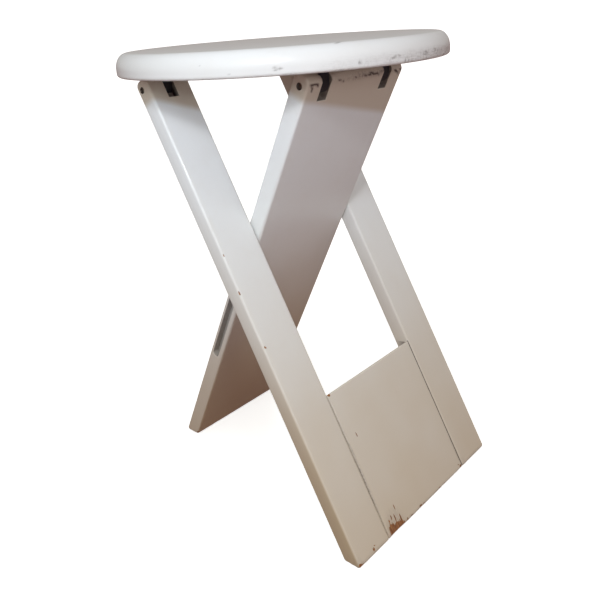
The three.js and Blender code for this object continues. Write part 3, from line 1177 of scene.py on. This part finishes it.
@dataclass
class OuterLeg:
    """The outer leg: two side boards with a bottom panel between them."""

    axes: LegAxes
    lacquer: bpy.types.Material
    front: float = 12 * MM
    top: float = 10 * MM
    half_width: float = 127 * MM
    board_width: float = 51.5 * MM
    panel_start: float = 360.5 * MM
    joint_gap: float = 0.3 * MM
    panel_fall: float = 8 * MM
    notch_depth: float = 15.5 * MM

    def side_board(self, side: Side) -> bpy.types.Object:
        """Builds one side board, with its notch and its pin hole.

        Args:
            side: the side that it stands on.

        Returns:
            The board's object.
        """
        outer = side.value * self.half_width
        inner = side.value * (self.half_width - self.board_width)
        board = Board(self.front, self.top, min(outer, inner), max(outer, inner))
        piece = make_object(f"lacquered_side_board_{side.word}", board.surface(self.axes))
        cuts = [Notch((outer + inner) / 2, self.notch_depth), PinHole(outer)]
        cut_board(piece, board, self.axes, cuts)
        chips = board.edge_chips(self.axes, 11 if side is Side.LEFT else 23, 14)
        if side is Side.LEFT:
            chips += self.left_chips()
        wear = Wear(chips, self.foot_scuffs(board), cuts=cuts, joint=self.joint(abs(inner)))
        finish_board(piece, board, self.axes, wear, self.lacquer)
        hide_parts(f"side_board_{side.word}")
        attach(piece, OUTER_BODY)
        return piece

    def joint(self, across: float) -> tuple[float, float, float]:
        """Where the panel is glued on: how far across, and how far down it starts in front and behind."""
        start = self.panel_start + GLUE_START
        return across, start, start + self.panel_fall

    def left_chips(self) -> list[Mark]:
        """The chips that stand out on the left side board's front face and front outer edge.

        Returns:
            The marks.
        """
        front = self.front
        outer = -self.half_width
        spots = [
            (outer + 1.5 * MM, 185, 0.7, 1.6),
            (outer + 0.8 * MM, 226, 0.7, 2.2),
            (outer + 2.5 * MM, 286, 0.9, 1.1),
            (outer + 4.6 * MM, 302, 0.6, 0.8),
            (-121.5 * MM, 406, 0.8, 0.9),
            (-115 * MM, 437, 0.8, 0.8),
            (-125 * MM, 524, 2.8, 2.4),
            (-121 * MM, 526, 2.6, 1.8),
            (-101 * MM, 521, 1.4, 2.4),
            (-98 * MM, 518, 0.7, 0.9),
        ]
        marks = [
            Mark((front, y, s * MM), (3 * MM, 1.5 * a * MM, 1.5 * b * MM), 0.2 * MM) for y, s, a, b in spots
        ]
        on_side = Mark((-1 * MM, outer, 14 * MM), (1.6 * MM, 1 * MM, 1.6 * MM), 0.1 * MM)
        return [*marks, on_side]

    def foot_scuffs(self, board: Board) -> list[Mark]:
        """The smudges low on a board's front face.

        Args:
            board: the board's sizes.

        Returns:
            The marks.
        """
        middle = (board.low + board.high) / 2
        foot = self.axes.foot(self.front)
        return [
            Mark((self.front, middle, foot), (14 * MM, 30 * MM, 7 * MM), most=0.6),
            Mark((self.front, board.low, foot), (14 * MM, 10 * MM, 16 * MM), most=0.6),
        ]

    def bottom_panel(self) -> bpy.types.Object:
        """Builds the bottom panel, with the lacquer broken away at its lower left corner.

        Returns:
            The panel's object.
        """
        half = self.half_width - self.board_width - self.joint_gap
        board = Board(
            self.front,
            -self.panel_start,
            -half,
            half,
            top_fall=self.panel_fall,
            top_round=1.6 * MM,
            edge_round=1.4 * MM,
            grid=1.3 * MM,
        )
        piece = make_object("lacquered_bottom_panel", board.surface(self.axes))
        chips = board.edge_chips(self.axes, 37, 12) + self.panel_chips()
        wear = Wear(chips, self.panel_scuffs(board), joint=self.joint(half))
        finish_board(piece, board, self.axes, wear, self.lacquer)
        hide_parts("bottom_panel")
        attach(piece, OUTER_BODY)
        return piece

    def panel_chips(self) -> list[Mark]:
        """The panel's named chips: the broken corner, its splinters, and the small ones along the foot.

        Returns:
            The marks.
        """
        spots = [
            (-59, 529, 22.0, 18.0, 0.5),
            (-66, 523, 9.0, 14.0, 0.5),
            (-66.8, 511, 1.1, 5.5, 0.2),
            (-62, 509, 1.0, 5.5, 0.2),
            (-57, 512, 1.2, 6.5, 0.2),
            (-52.5, 503, 0.9, 5.5, 0.2),
            (-49.5, 517, 1.3, 7.0, 0.2),
            (-41, 525, 1.6, 5.5, 0.2),
            (69, 520, 1.5, 1.5, 0.1),
            (-60, 414, 0.7, 4.2, 0.1),
            (-59, 422, 0.6, 3.0, 0.1),
            (-64, 403, 0.6, 2.0, 0.1),
        ]
        bold = [
            (-73, 362, 2.0, 2.4, 0.1),
            (-33, 525.5, 3.4, 2.2, 0.2),
            (-15, 525, 3.4, 3.2, 0.2),
            (-9, 525.5, 2.4, 2.2, 0.2),
            (24, 525.5, 2.2, 2.4, 0.2),
            (33, 526, 4.6, 2.2, 0.2),
            (72, 525, 2.4, 4.0, 0.2),
        ]
        return [
            Mark((self.front, y * MM, s * MM), (4 * MM, a * MM, b * MM), depth * MM, most)
            for most, group in ((1.0, spots), (2.2, bold))
            for y, s, a, b, depth in group
        ]

    def panel_scuffs(self, board: Board) -> list[Mark]:
        """The panel's smudges: round its broken corner, along its foot and beside its side joints.

        Args:
            board: the board's sizes.

        Returns:
            The marks.
        """
        foot = self.axes.foot(self.front)
        return [
            Mark((self.front, -60 * MM, 518 * MM), (6 * MM, 18 * MM, 20 * MM), most=0.5),
            Mark((self.front, 0, foot), (8 * MM, 90 * MM, 5 * MM), most=0.7),
            Mark((self.front, board.low, 450 * MM), (6 * MM, 2.5 * MM, 70 * MM), most=0.8),
            Mark((self.front, board.high, 500 * MM), (6 * MM, 3.5 * MM, 40 * MM), most=0.8),
        ]

    def build(self, pin_steel: bpy.types.Material, dowel_wood: bpy.types.Material) -> None:
        """Builds the leg's boards and dresses its pins and dowels.

        Args:
            pin_steel: the pins' material.
            dowel_wood: the dowels' material.
        """
        for side in Side:
            log.info("built %s", self.side_board(side).name)
            dress(f"outer_hinge_pin_{side.word}", pin_steel)
            dress(f"guide_pin_{side.word}", pin_steel)
            for number in (1, 2, 3):
                dress(f"panel_dowel_{side.word}_{number}", dowel_wood)
        log.info("built %s", self.bottom_panel().name)


@dataclass
class InnerLeg:
    """The inner leg: one wide board with two notches, two pin holes and two edge grooves."""

    axes: LegAxes
    lacquer: bpy.types.Material
    front: float = 9.6 * MM
    top: float = 10.5 * MM
    half_width: float = 74.2 * MM
    notch_depth: float = 13.1 * MM
    strap_place: float = 47.7 * MM

    def board_piece(self) -> bpy.types.Object:
        """Builds the board.

        Returns:
            The board's object.
        """
        board = Board(self.front, self.top, -self.half_width, self.half_width, grid=2.4 * MM)
        piece = make_object("lacquered_inner_leg", board.surface(self.axes))
        cuts = [Notch(side.value * self.strap_place, self.notch_depth) for side in Side]
        cuts += [kind(side.value * self.half_width) for kind in (PinHole, Groove) for side in Side]
        cut_board(piece, board, self.axes, cuts)
        chips = board.edge_chips(self.axes, 53, 16) + self.foot_chips()
        # Painted shade on this board: brown floor reflection darkens its front face low down, and the seat's
        # shadow is painted across its top.
        wear = Wear(chips, self.scuffs(), self.top_cracks(), cuts, painted_front_shade=0.8, shade=(28 * MM, 0.233))
        finish_board(piece, board, self.axes, wear, self.lacquer)
        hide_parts("inner_leg")
        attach(piece, INNER_BODY)
        return piece

    def top_cracks(self) -> list[Mark]:
        """The dark rubbed dashes along the rounded top end, and the forked crack by the left hole.

        Returns:
            The marks.
        """
        spots = [
            (-29, -5.8, 1.4, 0.9),
            (-26, -4.9, 1.8, 0.6),
            (-24, -3.6, 1.6, 0.6),
            (-4, -6.0, 1.6, 0.6),
            (3, -6.4, 2.6, 0.6),
            (11, -6.2, 3.4, 0.7),
            (17, -5.8, 2.4, 0.7),
            (20, -6.9, 3.4, 0.7),
            (24, -5.4, 2.2, 0.8),
            (29, -5.8, 3.4, 1.1),
            (33, -4.8, 2.4, 0.9),
            (37, -6.6, 3.4, 0.7),
            (56, -6.4, 3.4, 0.6),
            (61, -5.4, 2.6, 0.8),
            (64, -3.6, 2.6, 0.7),
            (68, -2.6, 1.4, 1.8),
            (71, -5.4, 3.0, 1.2),
            (75, -4.4, 3.0, 1.4),
            (79, -5.6, 2.6, 1.2),
        ]
        fork = [
            (-65.5, -5.6, 5.6, 0.8),
            (-60.5, -4.6, 2.0, 0.9),
            (-68.6, -3.6, 0.8, 2.0),
            (-67.2, -1.4, 0.8, 2.4),
        ]
        return [
            Mark((n, y * MM, s * MM), (3.5 * MM, 1.3 * (a * MM), 1.3 * (b * MM)))
            for n, group in ((self.front - 1.2 * MM, spots), (self.front, fork))
            for y, s, a, b in group
        ]

    def foot_chips(self) -> list[Mark]:
        """The chips on the foot's near corner.

        Returns:
            The marks.
        """
        foot = self.axes.foot(self.front)
        return [
            Mark((self.front, -self.half_width, foot), (4 * MM, 4 * MM, 7 * MM), 0.3 * MM),
            Mark((self.front, -40 * MM, foot), (3 * MM, 5 * MM, 3 * MM), 0.2 * MM),
        ]

    def scuffs(self) -> list[Mark]:
        """The smudges under the seat and low on the board.

        Returns:
            The marks.
        """
        return [
            Mark((self.front, 16 * MM, -6 * MM), (8 * MM, 70 * MM, 5 * MM), most=0.9),
            Mark((self.front, 20 * MM, self.axes.foot(self.front)), (8 * MM, 80 * MM, 8 * MM), most=0.7),
        ]

    def build(self, pin_steel: bpy.types.Material) -> None:
        """Builds the board and dresses its pins.

        Args:
            pin_steel: the pins' material.
        """
        log.info("built %s", self.board_piece().name)
        for side in Side:
            dress(f"inner_hinge_pin_{side.word}", pin_steel)


# The seat and its straps


@dataclass
class Seat:
    """The round seat: a thick disc with a wide round over above and a small one below."""

    lacquer: bpy.types.Material
    centre: Vector
    radius: float = 171 * MM
    thickness: float = 22.5 * MM
    over_width: float = 11.5 * MM
    over_depth: float = 15.5 * MM
    under_round: float = 3 * MM
    steps_round: int = 768

    def profile(self) -> np.ndarray:
        """The disc's half section, from the middle of its underside to the middle of its top.

        The rim is an ellipse above, over_width in by over_depth down, and a quarter circle below.

        Returns:
            Rows of radius and height.
        """
        under = np.linspace(0, math.pi / 2, 8)
        over = np.linspace(0, math.pi / 2, 25)
        side = self.thickness - self.over_depth
        flat = self.radius - self.under_round
        flat_top = self.radius - self.over_width
        spokes = np.linspace(0, 1, 26)
        stretches = [
            (flat * spokes[:-1], np.zeros(25)),
            (flat + self.under_round * np.sin(under), self.under_round * (1 - np.cos(under))),
            (np.full(3, self.radius), np.linspace(self.under_round, side, 5)[1:-1]),
            (flat_top + self.over_width * np.cos(over), side + self.over_depth * np.sin(over)),
            (flat_top * spokes[-2::-1], np.full(25, self.thickness)),
        ]
        return np.concatenate([np.stack(stretch, axis=1) for stretch in stretches])

    def rim_mark(
        self, angle: float, height: float, wide: float, tall: float, most: float = 1.0, depth: float = 0.0
    ) -> Mark:
        """A mark on the rim, at an angle in degrees and a height above the underside in millimetres.

        Args:
            angle: its direction from the middle, from +X towards +Y.
            height: its height above the underside.
            wide: half its width in millimetres.
            tall: half its height in millimetres.
            most: how strong it is.
            depth: how deep it is in millimetres.

        Returns:
            The mark.
        """
        turn = math.radians(angle)
        centre = (self.radius * math.cos(turn), self.radius * math.sin(turn), height * MM)
        return Mark(centre, (wide * MM, wide * MM, tall * MM), depth * MM, most)

    def rim_marks(self, rows: list[tuple[float, ...]]) -> list[Mark]:
        """Marks on the rim, one from each row of rim_mark's values."""
        return [self.rim_mark(*row) for row in rows]

    def chips(self) -> list[Mark]:
        """The few small chips on the rim."""
        places = [(75, 4.0, 1.6, 1.0), (142, 3.0, 2.2, 0.9), (-160, 2.0, 2.2, 0.9)]
        return self.rim_marks([(*place, 1.0, 0.1) for place in places])

    def cracks(self) -> list[Mark]:
        """The dark scratches and ticks on the rim, and the long one near the edge of its top.

        Returns:
            The marks.
        """
        ticks = [
            (-48.8, 7.4, 2.6, 0.9, 0.6),
            (-47.2, 6.2, 2.8, 0.9, 0.6),
            (-48.6, 4.9, 2.2, 0.8, 0.6),
            (-61.6, 4.3, 1.4, 0.8, 0.5),
            (-70.4, 12.3, 1.0, 0.9, 0.9),
            (-30.4, 1.0, 3.0, 0.9, 0.5),
            (-24.9, 5.6, 1.0, 1.8, 0.7),
            (-12.4, 7.5, 1.6, 1.4, 0.7),
            (-8.4, 2.6, 0.8, 2.6, 0.7),
            (-7.0, 2.2, 0.8, 2.4, 0.6),
            (-5.4, 2.4, 0.8, 2.6, 0.7),
            (1.4, 7.0, 0.9, 3.0, 0.5),
            (10.0, 8.0, 0.9, 3.0, 0.6),
            (15.5, 2.2, 3.5, 1.0, 0.8),
        ]
        on_top = (140 * MM, -79 * MM, self.thickness - 0.6 * MM)
        return [*self.rim_marks(ticks), Mark(on_top, (2.2 * MM, 6.5 * MM, 1.6 * MM), most=0.8)]

    def scuffs(self) -> list[Mark]:
        """The grey smudges low on the rim, where hands and floors have rubbed it.

        Returns:
            The marks.
        """
        strengths = (0.2, 0.25, 0.3, 0.4, 0.6, 0.75, 0.75, 0.6, 0.4, 0.3)
        bands = [(angle, 4.5, 26, 8.5, most) for angle, most in zip(range(-30, 50, 8), strengths)]
        smudges = [
            (-48, 6.0, 5, 2.4, 0.6),
            (-44, 0.6, 14, 2.2, 0.45),
            (-30, 0.8, 12, 2.2, 0.5),
            (-24.5, 5.0, 3, 2.4, 0.8),
            (-13, 6.4, 6, 2.2, 0.9),
            (-11, 7.4, 4, 2.4, 0.9),
            (-6, 2.6, 9, 3.0, 0.7),
            (2, 6.4, 9, 3.6, 1.0),
            (7, 7.0, 8, 4.2, 1.0),
            (12, 6.0, 8, 4.2, 0.9),
            (18, 4.0, 10, 4.6, 1.0),
            (28, 4.0, 20, 4.6, 0.6),
            (160, 3.0, 26, 4.0, 0.5),
            (-125, 1.0, 26, 3.0, 0.4),
        ]
        return self.rim_marks(bands + smudges)

    def build(self) -> bpy.types.Object:
        """Builds the seat.

        Returns:
            The seat's object.
        """
        disc = turned_surface(self.profile(), self.steps_round).moved(*self.centre)
        piece = make_object("lacquered_seat", disc)
        places = mesh_points(piece) - np.array(self.centre)
        dent(piece, self.chips(), places)
        store_place(piece, places)
        store_number(piece, "chip", strongest(self.chips(), places))
        store_number(piece, "scuff", strongest(self.scuffs(), places))
        store_number(piece, "dirt_and_recess_shade", strongest(self.cracks(), places))
        # The seat gets none of the painted shade that the legs have.
        for name in ("painted_low_shade", "painted_seat_shadow"):
            store_number(piece, name, np.zeros(len(places)))
        out = np.linalg.norm(places[:, :2], axis=1)
        store_number(piece, "edge", np.exp(-(((out - self.radius) / (4 * MM)) ** 2)))
        piece.data.materials.append(self.lacquer)
        soften(piece, 40)
        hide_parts("seat")
        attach(piece, SEAT_BODY)
        log.info("built %s", piece.name)
        return piece


@dataclass
class HingeStrap:
    """A moulded strap: an eye round the hinge pin, a neck beside it and a tab screwed under the seat."""

    plastic: bpy.types.Material
    width: float = 12.2 * MM
    eye: float = 8.6 * MM
    bore: float = 3.3 * MM
    bore_flare: float = 0.5 * MM
    neck: float = 3.2 * MM
    thickness: float = 2.2 * MM
    reach: float = 40 * MM
    tab_top: float = 14.2 * MM
    bend: float = 2 * MM
    outer_bend: float = 3 * MM
    edge_round: float = 0.5 * MM
    screws: tuple[float, float] = (19 * MM, 32 * MM)
    head: float = 3.6 * MM
    shank: float = 1.9 * MM
    countersink: float = 1.9 * MM

    def outline(self) -> np.ndarray:
        """The strap's outline in X and Z about the pin.

        The eye is a circle, left out where the neck meets it. The neck rises beside it and bends into the
        tab, whose far end is rounded.

        Returns:
            The outline's points.
        """
        inside = self.eye - self.neck
        tab_low = self.tab_top - self.thickness
        start = math.acos(inside / self.eye)
        angles = np.linspace(start, 2 * math.pi, 60)
        eye = self.eye * np.stack([np.cos(angles), np.sin(angles)], axis=1)
        quarter = np.linspace(0, math.pi / 2, 7)[:, None]
        across, up = 1 - np.cos(quarter), 1 - np.sin(quarter)
        inner = np.hstack([self.eye + self.bend * across, tab_low - self.bend * up])
        outer = np.hstack([inside + self.outer_bend * up, self.tab_top - self.outer_bend * across])
        half_turn = np.linspace(-math.pi / 2, math.pi / 2, 9)[:, None]
        end = self.thickness / 2
        tip = np.hstack([self.reach - end + end * np.cos(half_turn), tab_low + end * (1 + np.sin(half_turn))])
        return np.concatenate([eye, inner, tip, outer])

    def surface(self) -> Surface:
        """The strap about its own pin: its outline carried across its width."""
        return rounded_slab(self.outline(), -self.width / 2, self.width / 2, self.edge_round, 4, Caps.POLYGON)

    def cutters(self) -> list[Surface]:
        """The pin's bore along Y, and the screws' countersunk holes up through the tab.

        Returns:
            Three surfaces about the strap's pin.
        """
        flare, half = self.bore_flare, self.width / 2
        low = self.tab_top - self.thickness
        wider = self.head - self.shank
        bore = outline_stack(
            circle_outline(self.bore, 40),
            np.array([flare, flare, 0, 0, flare, flare]),
            np.array([-half - PAST, -half, -half + flare, half - flare, half, half + PAST]),
            Caps.LADDER,
        )
        hole = outline_stack(
            circle_outline(self.shank, 32),
            np.array([wider, wider, 0, 0]),
            np.array([low - PAST, low, low + self.countersink, self.tab_top + PAST]),
            Caps.LADDER,
        )
        upright = Surface(hole.points[:, [0, 2, 1]], hole.faces)
        return [bore, *(upright.moved(along, 0, 0) for along in self.screws)]

    def build_all(self, hinges: dict[str, Vector]) -> None:
        """Builds one strap and sets a copy of it at every hinge.

        Args:
            hinges: each strap's node name and the middle of its pin.
        """
        pattern = make_object("strap_pattern", self.surface())
        carve(pattern, self.cutters())
        points = mesh_points(pattern)
        for name, place in hinges.items():
            piece = bpy.data.objects.new(f"moulded_{name}", pattern.data.copy())
            bpy.context.scene.collection.objects.link(piece)
            set_points(piece, points + np.array(place))
            piece.data.materials.append(self.plastic)
            soften(piece)
            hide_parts(name)
            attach(piece, SEAT_BODY)
            log.info("built %s", piece.name)
        bpy.data.objects.remove(pattern)


def dress(node: str, material: bpy.types.Material) -> None:
    """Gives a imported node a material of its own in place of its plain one.

    Args:
        node: the node's name.
        material: its new material.
    """
    mesh = frame["nodes"][node].data
    mesh.materials.clear()
    mesh.materials.append(material)
    log.info("dressed %s", node)


# The studio


def way_towards(heading: float, height: float) -> Vector:
    """The unit way at a heading from +X towards +Y and an angle above level, both in radians."""
    level = math.cos(height)
    return Vector((math.cos(heading) * level, math.sin(heading) * level, math.sin(height)))


@dataclass(frozen=True)
class Lamp:
    """A square soft lamp that faces the stool: its direction in degrees, its distance, size and light.

    A mirrored lamp shows in glossy surfaces as well as lighting them.
    """

    name: str
    heading: float
    height: float
    distance: float
    size: float
    power: float
    tint: tuple[float, float, float]
    mirrored: bool = False

    def hang(self, target: Vector) -> None:
        """Hangs the lamp round a target and turns it to face it.

        Args:
            target: the place that it faces.
        """
        data = bpy.data.lights.new(self.name, "AREA")
        data.shape = "SQUARE"
        data.size = self.size
        data.energy = self.power
        data.color = self.tint
        lamp = bpy.data.objects.new(self.name, data)
        way = way_towards(math.radians(self.heading), math.radians(self.height))
        lamp.location = target + self.distance * way
        lamp.rotation_euler = (-way).to_track_quat("-Z", "Y").to_euler()
        lamp.visible_glossy = self.mirrored
        bpy.context.scene.collection.objects.link(lamp)


@dataclass(frozen=True)
class Studio:
    """A pale floor that curves up into walls, soft lamps and the camera."""

    camera_place: tuple[float, float, float] = (0.50516, -0.52896, 0.52172)
    heading: float = math.radians(133.625)
    tilt: float = math.radians(-19.934)
    roll: float = math.radians(-4.2)
    lens: float = 40.12
    shift_up: float = -0.0667
    lamps: tuple[Lamp, ...] = (
        Lamp("window", -60, 32, 0.95, 0.25, 1.9, (0.74, 0.84, 1.0)),
        Lamp("window_near", -75, 25, 0.95, 0.25, 1.7, (0.84, 1.0, 0.99)),
        Lamp("glint", -52, 33, 1.04, 0.07, 1.9, (1.0, 1.0, 1.0), True),
        Lamp("front", -20, 14, 1.6, 0.55, 5.4, (0.96, 0.99, 1.0)),
        Lamp("left", -135, 14, 1.6, 0.55, 1.6, (0.93, 0.97, 1.0)),
        Lamp("right", 60, 14, 1.6, 0.55, 1.8, (0.81, 0.89, 1.0)),
        Lamp("back", 120, 40, 1.6, 0.55, 5.2, (0.98, 1.0, 0.99)),
    )
    lit_place: tuple[float, float, float] = (0.0, 0.0, 0.3)
    above: Colour = colour(0.39, 0.36, 0.335)
    below: Colour = colour(0.205, 0.125, 0.111)
    horizon_width: float = 0.05
    floor_radius: float = 3.5
    wall_turn: float = 1.5

    def camera(self) -> None:
        """Sets the camera: its heading and tilt give the way it looks, and it is rolled about that way."""
        data = bpy.data.cameras.new("camera")
        data.lens = self.lens
        data.sensor_width = 36.0
        data.shift_y = self.shift_up
        data.clip_end = 60.0
        view = bpy.data.objects.new("camera", data)
        forward = way_towards(self.heading, self.tilt)
        level = forward.cross(Vector((0, 0, 1))).normalized()
        upright = level.cross(forward)
        right = math.cos(self.roll) * level + math.sin(self.roll) * upright
        up = -math.sin(self.roll) * level + math.cos(self.roll) * upright
        turn = Matrix((right, up, -forward)).transposed()
        view.matrix_world = Matrix.Translation(self.camera_place) @ turn.to_4x4()
        bpy.context.scene.collection.objects.link(view)
        bpy.context.scene.camera = view

    def cove(self) -> None:
        """Lays the floor, which curves up into pale walls and a ceiling all round.

        Its section runs flat to 3.5 m, turns up through a quarter circle of 1.5 m and closes at 5 m. It shows
        white and takes shadows, and leaves the colouring of the stool to the lamps and the room's own light.
        """
        turn = np.linspace(0, math.pi / 2, 9)
        reach = self.floor_radius + self.wall_turn * np.sin(turn)
        curve = np.stack([reach, self.wall_turn * (1 - np.cos(turn))], axis=1)
        profile = np.concatenate([[[0, 0], [1, 0]], curve, [[5, 4], [4, 5], [0, 5]]])
        cove = make_object("floor", turned_surface(profile, 64))
        cove.data.shade_smooth()
        finisher = Finisher("floor_paint")
        place = finisher.object_place()
        out = finisher.shade(finisher.node("VectorMath", {"operation": "LENGTH"}, i0=place), "Value")
        mottle = finisher.noise(place, 6.0, 3.0)
        cove.data.materials.append(
            finisher.surface(
                Base_Color=finisher.mix(mottle, colour(0.80, 0.80, 0.80), colour(0.83, 0.83, 0.825)),
                Roughness=0.8,
                Emission_Color=finisher.mix(out.step(0.25, 1.1), colour(0.62, 0.615, 0.60), colour(1, 1, 1)),
                Emission_Strength=1.0,
            )
        )
        cove.visible_diffuse = False
        cove.visible_glossy = False
        cove.visible_shadow = False

    def room(self) -> None:
        """Lights the stool evenly from above and, warmer, from below."""
        world = bpy.data.worlds.new("studio")
        bpy.context.scene.world = world
        world.use_nodes = True
        tree = world.node_tree
        tree.nodes.clear()
        place = tree.nodes.new("ShaderNodeTexCoord")
        split = tree.nodes.new("ShaderNodeSeparateXYZ")
        ramp = tree.nodes.new("ShaderNodeValToRGB")
        stops = zip(ramp.color_ramp.elements, (0.0, self.horizon_width), (self.below, self.above))
        for stop, position, shown in stops:
            stop.position = position
            stop.color = shown
        background = tree.nodes.new("ShaderNodeBackground")
        output = tree.nodes.new("ShaderNodeOutputWorld")
        tree.links.new(place.outputs["Generated"], split.inputs[0])
        tree.links.new(split.outputs["Z"], ramp.inputs[0])
        tree.links.new(ramp.outputs[0], background.inputs["Color"])
        tree.links.new(background.outputs[0], output.inputs["Surface"])

    def build(self) -> None:
        """Builds the whole studio."""
        self.room()
        self.cove()
        for lamp in self.lamps:
            lamp.hang(Vector(self.lit_place))
        self.camera()
        bpy.context.scene.view_settings.view_transform = "Standard"


def main() -> None:
    """Builds the stool around its frame, then the studio."""
    logging.basicConfig(level=logging.INFO, format="%(name)s: %(message)s")
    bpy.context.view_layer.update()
    hinges = {joint["name"]: Vector(joint["pos_m"]) for joint in frame["joints"]}
    outer_hinge = hinges["outer_leg_fold"]
    inner_hinge = hinges["inner_leg_fold"]
    low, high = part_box("seat")

    # The seat's lacquer is a darker copy of the legs' white: painted shade that tones down the stronger light
    # on the seat.
    seat_lacquer = Lacquer(
        "seat_lacquer_white", white=colour(0.755, 0.76, 0.765), low_shade_most=0.0, streaks=(110.0, 110.0, 900.0)
    ).material()
    leg_lacquer = Lacquer("leg_lacquer_white").material()
    pin_steel = Steel("pin_steel_dull", colour(0.30, 0.25, 0.21), spots=0.48).material()
    screw_steel = Steel("screw_steel_plated", colour(0.62, 0.61, 0.58), spots=0.68, roughness=0.28).material()

    Seat(seat_lacquer, Vector(((low.x + high.x) / 2, (low.y + high.y) / 2, low.z))).build()
    OuterLeg(LegAxes(outer_hinge, LEG_ANGLE), leg_lacquer).build(pin_steel, DowelWood().material())
    inner_leg = InnerLeg(LegAxes(inner_hinge, math.pi - LEG_ANGLE), leg_lacquer)
    inner_leg.build(pin_steel)

    places = {}
    for side in Side:
        board_low, board_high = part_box(f"side_board_{side.word}")
        across = Vector((0, (board_low.y + board_high.y) / 2, 0))
        places[f"outer_strap_{side.word}"] = outer_hinge + across
        places[f"inner_strap_{side.word}"] = inner_hinge + Vector((0, side.value * inner_leg.strap_place, 0))
    HingeStrap(BlackPlastic().material()).build_all(places)
    for name in places:
        for number in (1, 2):
            dress(f"{name}_screw_{number}", screw_steel)

    Studio().build()


if __name__ == "__main__":
    main()
